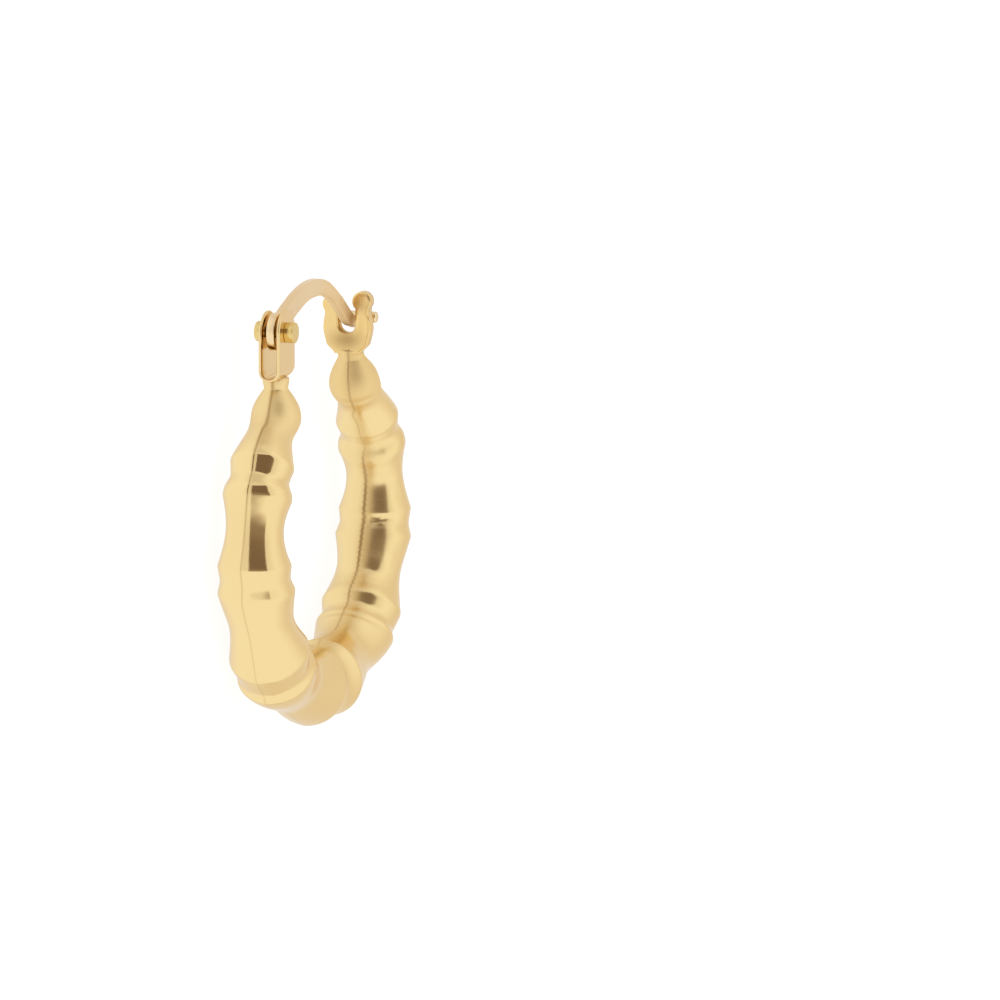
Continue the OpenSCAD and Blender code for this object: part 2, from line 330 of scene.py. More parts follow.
# %% Walk out to the skin and add the seam
RAY_LENGTH = 2.6
HALVINGS = 34
OUTER_RIDGE = 0.024
INNER_RIDGE = 0.008
RIDGE_WIDE = 0.25
GROOVE_DEEP = 0.016
GROOVE_WIDE = 0.04
DULL_END = (0.05, 0.11)
DULL_BALLS = (0.78, 1.12)
DULL_INSIDE = 0.37
DULL_SEAM = 0.55
SEAM_TURN = math.radians(16)
# Strength and width of the painted shade, a brown tone in the seam grooves
PAINTED_SHADE = 0.42
PAINTED_SHADE_WIDE = 1.5
RAGGED = 0.018
RAGGED_WAVES = (880, 1500)
WORN_FROM = (-50, -46)
WORN_TO = (30, 27)
WORN_ABOVE = (72, 42)
WORN_BELOW = (50, 20)


def walk_out(starts, directions):
    """How far each ray runs inside the skin, by halving the stretch that still holds the crossing."""
    near, far = np.zeros(directions.shape[:-1]), np.full(directions.shape[:-1], RAY_LENGTH)
    for _ in range(HALVINGS):
        half = (near + far) / 2
        inside = skin_distance(starts + half[..., None] * directions) < 0
        near, far = np.where(inside, half, near), np.where(inside, far, half)
    return near


# Columns: share of the way round the hoop from the strap to the fork, how far the outer seam lies above the
# middle plane, how far the inner seam does, and how open each groove is
SEAM = np.array([
    [0, 0.14, 0, 1.6, 1.2],
    [0.086, 0.1, 0, 1.6, 1],
    [0.14, 0.12, 0, 1.2, 0.7],
    [0.17, 0.03, 0.05, 0.9, 0.7],
    [0.213, -0.05, 0.05, 0.8, 0.6],
    [0.3, -0.08, 0, 0.6, 0.6],
    [0.36, -0.05, 0, 0.6, 0.5],
    [0.45, 0, 0, 0.7, 0.6],
    [0.6, 0, -0.05, 0.7, 0.8],
    [0.7, 0, 0, 0.8, 1.4],
    [0.75, 0, 0.07, 0.8, 1.9],
    [0.82, 0, 0.05, 0.8, 1.8],
    [0.857, 0, 0.1, 0.8, 1.2],
    [0.87, 0, 0.24, 0.8, 0.6],
    [0.895, 0, 0.1, 0.8, 0.7],
    [0.905, 0, 0.05, 1, 0.8],
    [0.915, 0, -0.16, 1, 0.8],
    [0.926, 0, 0.2, 1, 0.9],
    [0.95, 0, 0.25, 1, 1.1],
    [1, 0, 0.25, 1.2, 1.1],
])


def groove_shape(away, openness):
    """Cross section of the groove, 1 in its middle."""
    return np.exp(-((away / (GROOVE_WIDE * openness)) ** 2))


def seam_relief(away, openness, ridge_high):
    """Height of the seam at a distance from it: a ridge that fades as exp(-d / width), less a groove of the
    form exp(-(d / width)^2)."""
    groove = GROOVE_DEEP * openness * groove_shape(away, openness)
    return ridge_high * np.exp(-np.abs(away) / RIDGE_WIDE) - groove


# Inside the catch leg the rings are lower beside the seam, as if filed. Columns: angle, radius as a share of
# TUBE_R
WORN = np.array([
    [-50, 0.872],
    [-46, 0.95],
    [-43, 0.925],
    [-40, 0.915],
    [-37.5, 0.955],
    [-35, 0.993],
    [-33, 0.975],
    [-29, 0.885],
    [-24, 0.808],
    [-20, 0.84],
    [-15, 0.912],
    [-10, 0.945],
    [-7, 0.932],
    [-5, 0.9],
    [-3.6, 0.87],
    [-2.2, 0.872],
    [-0.4, 0.9],
    [4, 0.82],
    [10.8, 0.705],
    [16, 0.765],
    [20.5, 0.838],
    [26.2, 0.725],
    [30, 0.78],
])
# Small drops beside the seam there. Columns: angle, distance from the seam, width, height
DROPS = np.array([
    [-2.2, 0.25, 0.08, 0.03],
    [-3, 0.45, 0.08, 0.04],
    [-3.8, 0.28, 0.07, 0.03],
    [-3.4, 0.66, 0.08, 0.04],
    [-2.4, 0.85, 0.09, 0.03],
    [-4.4, 0.8, 0.08, 0.03],
    [-5.6, 0.16, 0.08, 0.02],
])


def worn_rings():
    """Change of the radius from the tube's rings to the lower WORN curve, on the inner side of the catch leg,
    with soft borders."""
    angle = np.degrees(tilts)
    here = fade(angle, *WORN_FROM) * fade(angle, *WORN_TO) * (sides > 0)
    from_seam = np.degrees(math.pi - around)
    across = np.where(from_seam > 0, fade(from_seam, *WORN_ABOVE), fade(-from_seam, *WORN_BELOW))
    change = TUBE_R * through(WORN, angle) - tube_radius(np.clip(angle, -90, END_ANGLE))
    return (here * change)[:, None] * across


def solder_drops(away):
    """Height of the drops beside the inner seam of the catch leg, each exp(-(d / width)^2)."""
    height = 0
    for angle, aside, width, high in DROPS:
        along = HOOP_REACH * (tilts - math.radians(angle))[:, None]
        height = height + high * np.exp(-((along**2 + (away + aside) ** 2) / width**2))
    return height * (sides > 0)[:, None]


share_round = np.linspace(0, 1, len(middles))
outer_shift, inner_shift, outer_open, inner_open = (np.interp(share_round, SEAM[:, 0], column)[:, None]
                                                    for column in SEAM[:, 1:].T)
slow_wave, fast_wave = (np.sin(waves * share_round + shift) for waves, shift in zip(RAGGED_WAVES, (0, 2)))
inner_shift = inner_shift + RAGGED * (slow_wave + fast_wave)[:, None]
rough_radius = TUBE_R * 0.8
near_outer = np.cos(around / 2) ** 2
turns = around + (outer_shift * near_outer - inner_shift * (1 - near_outer)) / rough_radius
outward = np.stack([sides * np.cos(tilts), np.sin(tilts), np.zeros(len(tilts))], axis=-1)
directions = np.cos(turns)[..., None] * outward[:, None] + np.sin(turns)[..., None] * np.array([0, 0, 1])
starts = np.concatenate([middles, np.zeros((len(middles), 1))], axis=1)[:, None]
lengths = walk_out(starts, directions)
outer_away = lengths * (np.mod(around + math.pi, 2 * math.pi) - math.pi)
inner_away = lengths * (around - math.pi)
lengths = lengths + worn_rings() + solder_drops(inner_away)
lengths = lengths + seam_relief(outer_away, outer_open, OUTER_RIDGE)
lengths = lengths + seam_relief(inner_away, inner_open, INNER_RIDGE)
hoop_rings = starts + lengths[..., None] * directions + CENTRE
tube = make_piece("bamboo_tube", *joined_rings(hoop_rings), "hoop", "tube_gold")
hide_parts("bamboo_hoop")

# Duller inside the hoop and on the balls, which a polishing wheel hardly reaches
from_end = np.minimum(share_round, 1 - share_round)[:, None]
seam_dull = DULL_SEAM * np.exp(-(((around - math.pi) / SEAM_TURN) ** 2))
inner_dull = DULL_INSIDE * np.sin(around / 2) ** 4 + seam_dull
ball_dull = np.interp(share_round, [0, 1], DULL_BALLS)[:, None] * (1 - fade(from_end, *DULL_END))
dull = np.maximum(ball_dull, inner_dull[None])
# Painted shade: a brown tone in the seam grooves, darkening the crease where shade falls
painted_shade = np.maximum(groove_shape(outer_away, PAINTED_SHADE_WIDE * outer_open) * outer_open,
                   groove_shape(inner_away, PAINTED_SHADE_WIDE * inner_open) * inner_open)
give_attribute(tube, "dullness", np.append(dull, [1, 1]))
give_attribute(tube, "painted_shade", np.append(np.clip(PAINTED_SHADE * painted_shade, 0, 1), [0, 0]))

# %% [markdown]
# ## Plates with rolled edges
#
# The strap, the catch and the ear wire are all cut from flat sheet, and polishing has rolled their edges
# over. A Bevel modifier could roll them, but it leaves one huge flat face that can't be bent. Instead the
# outline is filled with a fine net of points, and close to the outline both faces come down along a quarter
# circle.

# %% A plate from its outline
ROLL_STEPS = 5
NET_SHARE = 1.6
SAME_POINT = 1e-7


def inside_outline(points, outline):
    """True for points inside a closed outline, by counting the sides that a ray to the right crosses."""
    a, b = outline, np.roll(outline, -1, axis=0)
    x, y = points[:, :1], points[:, 1:]
    spans = (a[:, 1] > y) != (b[:, 1] > y)
    level = np.where(a[:, 1] == b[:, 1], 1, b[:, 1] - a[:, 1])
    cross_x = a[:, 0] + (y - a[:, 1]) * (b[:, 0] - a[:, 0]) / level
    return (spans & (x < cross_x)).sum(axis=1) % 2 == 1


def evenly_spaced(outline, spacing):
    """The closed outline again, with points at an even spacing along it."""
    closed = np.concatenate([outline, outline[:1]])
    run = np.concatenate([[0], np.cumsum(np.linalg.norm(np.diff(closed, axis=0), axis=1))])
    wanted = np.arange(0, run[-1] - spacing / 2, spacing)
    return np.stack([np.interp(wanted, run, closed[:, k]) for k in range(2)], axis=-1)


def rolled_plate(outline, thick, roll, wide, spacing):
    """Points (u, v, height) and faces of a plate with a closed outline of the given thickness. At a distance
    d from the outline, up to wide, its half height is thick / 2 - roll + roll sqrt(1 - (1 - d / wide)^2)."""
    rim = evenly_spaced(np.asarray(outline, float), spacing)
    ahead = np.roll(rim, -1, axis=0) - np.roll(rim, 1, axis=0)
    ahead /= np.linalg.norm(ahead, axis=1)[:, None]
    area = np.sum(rim[:, 0] * np.roll(rim[:, 1], -1) - rim[:, 1] * np.roll(rim[:, 0], -1))
    inward = np.stack([-ahead[:, 1], ahead[:, 0]], axis=-1) * np.sign(area)
    turn = np.linspace(0, math.pi / 2, ROLL_STEPS + 1)
    depths = wide * (1 - np.cos(turn))
    rings = rim + depths[:, None, None] * inward
    heights = np.repeat(thick / 2 - roll + roll * np.sin(turn), len(rim))
    low, high = rim.min(axis=0), rim.max(axis=0)
    u, v = np.meshgrid(*(np.arange(low[k], high[k], spacing * NET_SHARE) for k in range(2)))
    net = np.stack([u.ravel(), v.ravel()], axis=-1)
    net = net[inside_outline(net, rings[-1])]
    nearest = np.linalg.norm(net[:, None] - rings[-1][None, ::2], axis=-1).min(axis=1)
    net = net[nearest > spacing]
    flat = np.concatenate([rings.reshape(-1, 2), net])
    heights = np.concatenate([heights, np.full(len(net), thick / 2)])
    count = len(rim)
    sides_of = np.arange(count)
    borders = np.stack([sides_of, np.roll(sides_of, -1)], axis=-1).tolist()
    filled = delaunay_2d_cdt([Vector(p) for p in flat], borders, [], 1, SAME_POINT)
    found, faces, origin = filled[0], np.array(filled[2]), filled[3]
    source = np.array([o[0] if o else 0 for o in origin])
    top = np.concatenate([np.array([tuple(p) for p in found]), heights[source][:, None]], axis=1)
    bottom = top * [1, 1, -1]
    place = np.zeros(len(flat), int)
    place[source] = np.arange(len(source))
    edge = place[:count]
    walls = np.stack([edge, np.roll(edge, -1), np.roll(edge, -1) + len(top), edge + len(top)], axis=-1)
    if area > 0:
        walls = walls[:, ::-1]
    return np.concatenate([top, bottom]), walls, np.concatenate([faces, faces[:, ::-1] + len(top)])


def arc(centre, radius, first, last, count):
    """Points of an arc about a centre, from one angle to another in degrees."""
    a = np.radians(np.linspace(first, last, count))
    return np.asarray(centre) + radius * np.stack([np.cos(a), np.sin(a)], axis=-1)


# %% [markdown]
# ## The hinge strap
#
# The strap is a strip with round ends, bent to a U round the eye of the ear wire. The blank is made flat, as
# the goldsmith cuts it, and then bent: a point's place along the blank becomes a place along the U, and its
# height above the blank becomes a distance from the U.

# %% Cut and bend the strap
STRAP_W = 1.13
STRAP_WALL = 0.19
STRAP_DEEP = 2.37
STRAP_SHIFT = 0.075
STRAP_HIGH = 3.6
FAR_EAR_SHORT = 0.16
FRONT_CORNER = (0.14, 0.14)
BACK_CORNER = (1.0, 0.66)
STRAP_ROLL = 0.06
STRAP_ROLL_WIDE = 0.22
PLATE_SPACING = 0.05
WAIST_MORE = 0.3

strap_bottom = CENTRE_Y + BALL_Y + NECK_HIGH
bend_r = (STRAP_W - STRAP_WALL) / 2
bend_long = math.pi * bend_r
ear_long = STRAP_HIGH - STRAP_W / 2


def corner_cut(height, corner):
    """How far an elliptical corner of a given depth and height cuts in at a height above the bottom."""
    deep, high = corner
    return deep * (1 - np.sqrt(1 - np.clip(1 - height / high, 0, 1) ** 2))


def strap_blank():
    """Outline of the flat blank, its length along u: two half circles, straight sides, and a waist where the
    strip bends, which comes from the rounded lower corners of the ears."""
    half = STRAP_DEEP / 2
    end = ear_long + bend_long / 2 - half
    waist_long = bend_long / 2 + WAIST_MORE
    u = np.linspace(-waist_long, waist_long, 81)
    straight = np.clip(np.abs(u) - bend_long / 2, 0, None)
    height = STRAP_W / 2 - bend_r * np.cos(np.clip(u / bend_r, -math.pi / 2, math.pi / 2)) + straight
    front = np.stack([u, -half + corner_cut(height, FRONT_CORNER)], axis=-1)
    back = np.stack([u, half - corner_cut(height, BACK_CORNER)], axis=-1)[::-1]
    near_ear, far_ear = arc([end, 0], half, -90, 90, 60), arc([-end + FAR_EAR_SHORT, 0], half, 90, 270, 60)
    return np.concatenate([front, near_ear, back, far_ear])


def bent_strap(flat):
    """Bends blank points (u, v, height) to the U. Within the bend the angle is u / bend_r, measured from the
    bottom, and beyond it the ear runs straight up. v runs along X, and height points out of the U."""
    u, v, height = flat.T
    angle = np.clip(u / bend_r, -math.pi / 2, math.pi / 2)
    straight = np.abs(u) - np.abs(angle) * bend_r
    across = (bend_r + height) * np.sin(angle)
    up = STRAP_W / 2 - (bend_r + height) * np.cos(angle) + straight
    return np.stack([PIN_X + STRAP_SHIFT + v, strap_bottom + up, MIDDLE_Z + across], axis=-1)


points, quads, triangles = rolled_plate(strap_blank(), STRAP_WALL, STRAP_ROLL, STRAP_ROLL_WIDE, PLATE_SPACING)
strap = make_piece("hinge_strap", bent_strap(points), quads, triangles, "hoop", "tube_gold")

# %% [markdown]
# ## The catch
#
# The catch is a small plate that stands on the other ball. The ear wire drops into its slot and clicks past
# the two round knobs. Its outline is a table of half widths, a slot with a round bottom, and two circles.

# %% Cut the fork
FORK_W = 2.5
FORK_THICK = 0.62
FORK_ROLL = 0.06
FORK_ROLL_WIDE = 0.14
FORK_X = BALL_X - 0.75
SLOT_W = 0.9
SLOT_UP = 3.12
KNOB_UP = 4.3
KNOB_D = 1.0
KNOB_APART = 1.57
KNOB_START = -40
KNOB_WRAP = 0.75
FAR_KNOB_DROP = 0.2

# Half the fork's outline. Columns: height above the ball's middle, half width as a share of FORK_W / 2
FORK = np.array([
    [1.62, 0.53],
    [1.8, 0.63],
    [1.95, 0.765],
    [2.1, 0.86],
    [2.3, 0.905],
    [2.5, 0.945],
    [2.75, 0.99],
    [2.97, 1],
    [3.37, 0.97],
    [3.67, 0.92],
])
# Painted shade: darker spots under the slot and on the near knob, where shade falls, each exp(-(d /
# reach)^2).
# Columns: place across the fork, height above the ball's middle, reach across, reach up, strength
SHADE_SPOTS = np.array([
    [0, 2.35, 0.8, 0.5, 0.8],
    [0.78, 4.1, 0.5, 0.4, 0.45],
])


def prong(knob_up):
    """Half of the fork's outline with u across and v up: up the outer side, over the knob, down the slot."""
    heights = np.linspace(FORK[0, 0], FORK[-1, 0], 60)
    outer = np.stack([through(FORK, heights) * FORK_W / 2, heights], axis=-1)
    outer = outer[outer[:, 1] < knob_up - KNOB_D / 2]
    last = 180 + math.degrees(math.asin(KNOB_WRAP))
    over = arc([KNOB_APART / 2, knob_up], KNOB_D / 2, KNOB_START, last, 60)
    slot = arc([0, SLOT_UP], SLOT_W / 2, 0, -90, 24)
    return np.concatenate([outer, over, slot])


def fork_outline():
    """The whole outline: the near prong, and back along the far one, whose knob sits lower."""
    return np.concatenate([prong(KNOB_UP), prong(KNOB_UP - FAR_KNOB_DROP)[::-1][1:] * [-1, 1]])


points, quads, triangles = rolled_plate(fork_outline(), FORK_THICK, FORK_ROLL, FORK_ROLL_WIDE, PLATE_SPACING)
standing = points[:, [2, 1, 0]] + [FORK_X, CENTRE_Y + BALL_Y, MIDDLE_Z]
fork = make_piece("catch_fork", standing, quads, triangles, "hoop", "tube_gold")
# Painted shade on the catch, put in the same point attribute as the shade in the seam grooves
shade_spots = 0
for across, height, wide, high, strength in SHADE_SPOTS:
    aside, above = (points[:, 0] - across) / wide, (points[:, 1] - height) / high
    shade_spots = shade_spots + strength * np.exp(-(aside**2) - above**2)
give_attribute(fork, "painted_shade", shade_spots)

# %% [markdown]
# ## The ear wire
#
# The ear wire is a flat strip on edge. Its eye is a round knuckle with a flat heel, and from there the strip
# arches over the ear and runs down into the slot. Its outline is worked out along the arch, with half the
# strip's height to each side.

# %% Cut the ear wire
WIRE_THICK = 0.44
WIRE_ROLL = 0.05
WIRE_ROLL_WIDE = 0.1
EYE_R = 0.95
HEEL_DROP = 0.86
PEG_D = 0.57
PEG_LONG = 2.52
PEG_X = FORK_X + 0.79
PEG_UP = 3.38
WIRE_PAST_PEG = 0.25
WIRE_FIRST = 0.03
WIRE_STEPS = 160
DULL_WIRE = 0.9
DULL_WIRE_FROM = (5.6, 7.2)

# The ear wire from the pin to its tip. Columns: share of the way across, rise above the pin, strip height
WIRE = np.array([
    [0, 0.36, 0.95],
    [0.13, 0.74, 1],
    [0.23, 1.09, 0.99],
    [0.36, 1.4, 0.89],
    [0.49, 1.41, 0.85],
    [0.6, 1.17, 0.74],
    [0.7, 0.67, 0.64],
    [0.8, -0.08, 0.7],
    [0.89, -0.78, 0.68],
    [0.95, -1.07, 0.56],
    [1, -1.22, 0.54],
])


def wire_outline():
    """Outline of the wire about the pin: out along its lower side, back along the upper, round the eye."""
    long = PEG_X + WIRE_PAST_PEG - PIN_X
    share = np.linspace(WIRE_FIRST, 1, WIRE_STEPS)
    middle = np.stack([share * long, through(WIRE[:, [0, 1]], share)], axis=-1)
    ahead = np.gradient(middle, axis=0)
    ahead /= np.linalg.norm(ahead, axis=1)[:, None]
    half = through(WIRE[:, [0, 2]], share)[:, None] / 2
    aside = np.stack([-ahead[:, 1], ahead[:, 0]], axis=-1) * half
    lower, upper = middle - aside, (middle + aside)[::-1]
    lower = lower[np.linalg.norm(lower, axis=1) > EYE_R]
    upper = upper[np.linalg.norm(upper, axis=1) > EYE_R]
    leave = math.degrees(math.atan2(lower[0, 1], lower[0, 0]))
    come = math.degrees(math.atan2(upper[-1, 1], upper[-1, 0]))
    heel = math.degrees(math.asin(HEEL_DROP / EYE_R))
    back = arc([0, 0], EYE_R, come, 180 + heel, 60)
    front = arc([0, 0], EYE_R, -heel, leave, 30)
    return np.concatenate([lower, upper, back, front])


points, quads, triangles = rolled_plate(wire_outline(), WIRE_THICK, WIRE_ROLL, WIRE_ROLL_WIDE, PLATE_SPACING)
wire = make_piece("flat_ear_wire", points + [PIN_X, PIN_Y, MIDDLE_Z], quads, triangles, "wire", "wire_gold")
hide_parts("ear_wire")
# Duller towards the fork, as of wear
give_attribute(wire, "dullness", DULL_WIRE * fade(points[:, 0], *DULL_WIRE_FROM))

# %% [markdown]
# ## Turned pieces
#
# The rivet and the cross peg on the wire's tip are round, so each is a profile turned about an axis along Z.

# %% Turn the rivet and the peg
ROUND_STEPS = 64
PIN_R = 0.3
HEAD_R = 0.515
HEAD_OUT = 0.47
UNDER_ROLL = 0.05
NEAR_ROLL = 0.06
FAR_ROLL = 0.15
CAP_SHARES = (0.5, 0.2)
PEG_ROLL = 0.12


def turned(profile, centre):
    """Rings of a profile (n, 2) of radius and height, turned about the line through centre along Z."""
    a = np.linspace(0, 2 * math.pi, ROUND_STEPS, endpoint=False)
    radius, height = profile[:, :1], profile[:, 1:]
    level = np.broadcast_to(height, (len(profile), ROUND_STEPS))
    return np.stack([radius * np.cos(a), radius * np.sin(a), level], axis=-1) + np.asarray(centre)


def head_profile(roll):
    """One end of the rivet as radius and height: half of the thin pin, and a head whose outer corner is a
    quarter circle."""
    low = STRAP_W / 2
    high = low + HEAD_OUT
    under = arc([HEAD_R - UNDER_ROLL, low + UNDER_ROLL], UNDER_ROLL, -90, 0, 6)
    over = arc([HEAD_R - roll, high - roll], roll, 0, 90, 12)
    top = [[HEAD_R * share, high] for share in CAP_SHARES]
    return np.concatenate([[[PIN_R, 0], [PIN_R, low]], under, over, top])


def rivet_profile():
    """The whole rivet: the far head is round, and the near one is nearly flat."""
    return np.concatenate([head_profile(FAR_ROLL)[:0:-1] * [1, -1], head_profile(NEAR_ROLL)])


def peg_profile():
    """The peg's half length with rounded ends, and the same mirrored."""
    high = PEG_LONG / 2
    over = arc([PEG_D / 2 - PEG_ROLL, high - PEG_ROLL], PEG_ROLL, 0, 90, 12)
    half = np.concatenate([[[PEG_D / 2, 0]], over, [[PEG_D * 0.1, high]]])
    return np.concatenate([half[:0:-1] * [1, -1], half])


rivet = make_piece("hinge_rivet", *joined_rings(turned(rivet_profile(), [PIN_X, PIN_Y, MIDDLE_Z])),
                   "hoop", "pin_gold")
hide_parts("hinge_pin")
peg_place = [PEG_X, CENTRE_Y + BALL_Y + PEG_UP, MIDDLE_Z]
peg = make_piece("cross_peg", *joined_rings(turned(peg_profile(), peg_place)), "wire", "wire_gold")

# %% [markdown]
# ## Polished gold
#
# Polished gold is a metal with a warm colour and a low roughness. What makes it look real is the little that
# breaks the polish: hairlines from the buffing wheel, patches where the polish is a touch duller, and a very
# slight unevenness of the sheet that bends the reflections. One node group makes all three, and each finish
# gives it its own values.

# %% A node group for polished sheet
DULL_MORE = 0.45
# Brown tone of the painted shade in the seam grooves and on the catch
PAINTED_SHADE_TONE = (0.42, 0.25, 0.09, 1)


def add_node(tree, kind, **values):
    """Adds a node and sets its properties, or the default values of its inputs, by name."""
    node = tree.nodes.new(kind)
    for key, value in values.items():
        if key in node.inputs.keys():
            node.inputs[key].default_value = value
        else:
            setattr(node, key, value)
    return node


def polish_group():
    """Group with inputs Tone, Deep Tone, Polish, Haze and Unevenness. It puts out the colour, the roughness
    and the height of the surface from noise on Object coordinates and from point attributes; the colour also
    takes a painted shade, a brown tone, from a point attribute."""
    group = bpy.data.node_groups.new("polished_sheet", "ShaderNodeTree")
    sockets = group.interface
    sockets.new_socket("Tone", in_out="INPUT", socket_type="NodeSocketColor")
    sockets.new_socket("Deep Tone", in_out="INPUT", socket_type="NodeSocketColor")
    for name in ("Polish", "Haze", "Unevenness"):
        sockets.new_socket(name, in_out="INPUT", socket_type="NodeSocketFloat")
    sockets.new_socket("Color", in_out="OUTPUT", socket_type="NodeSocketColor")
    sockets.new_socket("Roughness", in_out="OUTPUT", socket_type="NodeSocketFloat")
    sockets.new_socket("Height", in_out="OUTPUT", socket_type="NodeSocketFloat")
    given = group.nodes.new("NodeGroupInput")
    result = group.nodes.new("NodeGroupOutput")
    place = group.nodes.new("ShaderNodeTexCoord")
    link = group.links.new

    patches = add_node(group, "ShaderNodeTexNoise", Scale=260.0, Detail=2.0, Roughness=0.5)
    link(place.outputs["Object"], patches.inputs["Vector"])
    blend = add_node(group, "ShaderNodeMix", data_type="RGBA")
    link(patches.outputs["Fac"], blend.inputs["Factor"])
    link(given.outputs["Tone"], blend.inputs["A"])
    link(given.outputs["Deep Tone"], blend.inputs["B"])
    # Painted shade: a point attribute mixes the colour towards a brown tone in the seam grooves and on the
    # catch
    painted_shade = add_node(group, "ShaderNodeAttribute", attribute_name="painted_shade")
    shaded_colour = add_node(group, "ShaderNodeMix", data_type="RGBA")
    link(painted_shade.outputs["Fac"], shaded_colour.inputs["Factor"])
    link(blend.outputs["Result"], shaded_colour.inputs["A"])
    shaded_colour.inputs["B"].default_value = PAINTED_SHADE_TONE
    link(shaded_colour.outputs["Result"], result.inputs["Color"])

    stretch = add_node(group, "ShaderNodeMapping")
    stretch.inputs["Scale"].default_value = (1, 1, 9)
    link(place.outputs["Object"], stretch.inputs["Vector"])
    hairlines = add_node(group, "ShaderNodeTexNoise", Scale=2600.0, Detail=3.0, Roughness=0.6)
    link(stretch.outputs["Vector"], hairlines.inputs["Vector"])
    haze = add_node(group, "ShaderNodeMath", operation="MULTIPLY_ADD")
    link(hairlines.outputs["Fac"], haze.inputs[0])
    link(given.outputs["Haze"], haze.inputs[1])
    link(given.outputs["Polish"], haze.inputs[2])
    attribute = add_node(group, "ShaderNodeAttribute", attribute_name="dullness")
    duller = add_node(group, "ShaderNodeMath", operation="MULTIPLY_ADD")
    link(attribute.outputs["Fac"], duller.inputs[0])
    duller.inputs[1].default_value = DULL_MORE
    link(haze.outputs["Value"], duller.inputs[2])
    link(duller.outputs["Value"], result.inputs["Roughness"])

    waves = add_node(group, "ShaderNodeTexNoise", Scale=900.0, Detail=1.0, Roughness=0.4)
    link(place.outputs["Object"], waves.inputs["Vector"])
    uneven = add_node(group, "ShaderNodeMath", operation="MULTIPLY")
    link(waves.outputs["Fac"], uneven.inputs[0])
    link(given.outputs["Unevenness"], uneven.inputs[1])
    fine = add_node(group, "ShaderNodeMath", operation="MULTIPLY_ADD")
    link(hairlines.outputs["Fac"], fine.inputs[0])
    fine.inputs[1].default_value = 0.06
    link(uneven.outputs["Value"], fine.inputs[2])
    link(fine.outputs["Value"], result.inputs["Height"])
    return group


POLISHED = polish_group()
BUMP_REACH = 0.00002


def gold(name, tone, deep_tone, polish, haze, unevenness):
    """Material of polished gold. Tones are linear colours, polish is the least roughness."""
    material = bpy.data.materials.new(name)
    material.use_nodes = True
    tree = material.node_tree
    shader = tree.nodes["Principled BSDF"]
    shader.inputs["Metallic"].default_value = 1
    sheet = tree.nodes.new("ShaderNodeGroup")
    sheet.node_tree = POLISHED
    sheet.inputs["Tone"].default_value = (*tone, 1)
    sheet.inputs["Deep Tone"].default_value = (*deep_tone, 1)
    sheet.inputs["Polish"].default_value = polish
    sheet.inputs["Haze"].default_value = haze
    sheet.inputs["Unevenness"].default_value = unevenness
    bump = add_node(tree, "ShaderNodeBump", Strength=1.0, Distance=BUMP_REACH)
    tree.links.new(sheet.outputs["Color"], shader.inputs["Base Color"])
    tree.links.new(sheet.outputs["Roughness"], shader.inputs["Roughness"])
    tree.links.new(sheet.outputs["Height"], bump.inputs["Height"])
    tree.links.new(bump.outputs["Normal"], shader.inputs["Normal"])
    return material


tube_gold = gold("tube_gold", (0.9, 0.7, 0.35), (0.86, 0.65, 0.31), 0.05, 0.06, 1.0)
strap_gold = gold("strap_gold", (0.88, 0.68, 0.35), (0.84, 0.62, 0.31), 0.12, 0.10, 0.6)
fork_gold = gold("fork_gold", (0.93, 0.69, 0.32), (0.82, 0.58, 0.24), 0.16, 0.10, 5.0)
wire_gold = gold("wire_gold", (0.9, 0.72, 0.44), (0.86, 0.66, 0.39), 0.16, 0.06, 0.5)
pin_gold = gold("pin_gold", (0.84, 0.66, 0.28), (0.76, 0.55, 0.21), 0.16, 0.14, 1.2)
for piece, material in ((tube, tube_gold), (strap, strap_gold), (fork, fork_gold), (wire, wire_gold),
                        (peg, wire_gold), (rivet, pin_gold)):
    piece.data.materials.append(material)
for node, material in (("bamboo_hoop", tube_gold), ("hinge_pin", pin_gold), ("ear_wire", wire_gold)):
    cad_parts[node].data.materials.clear()
    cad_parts[node].data.materials.append(material)

# %% [markdown]
# ## Floor, light and camera
#
# The earring lies on a plain pale floor. Jewellery is often photographed inside a bright white tent with one
# dark gap, and polished metal shows that gap as brown patches. The gap's place and size here are fitted to
# the patches in the photograph. The tent is the world's light, so that no wall stands in the way of another
# view.

# %% The floor
FLOOR_HALF = 3000.0
OPAL_GLOW = 0.86
floor_mesh = bpy.data.meshes.new("floor")
floor_corners = [(-FLOOR_HALF, -FLOOR_HALF, 0), (FLOOR_HALF, -FLOOR_HALF, 0), (FLOOR_HALF, FLOOR_HALF, 0),
                 (-FLOOR_HALF, FLOOR_HALF, 0)]
floor_mesh.from_pydata([tuple(c * MM for c in corner) for corner in floor_corners], [], [(0, 1, 2, 3)])
floor = bpy.data.objects.new("floor", floor_mesh)
bpy.context.scene.collection.objects.link(floor)
floor.visible_glossy = False
opal = bpy.data.materials.new("opal_sheet")
opal.use_nodes = True
sheet_shader = opal.node_tree.nodes["Principled BSDF"]
sheet_shader.inputs["Base Color"].default_value = (0.2, 0.2, 0.2, 1)
sheet_shader.inputs["Roughness"].default_value = 0.9
sheet_shader.inputs["Emission Color"].default_value = (1, 1, 1, 1)
sheet_shader.inputs["Emission Strength"].default_value = OPAL_GLOW
floor_mesh.materials.append(opal)

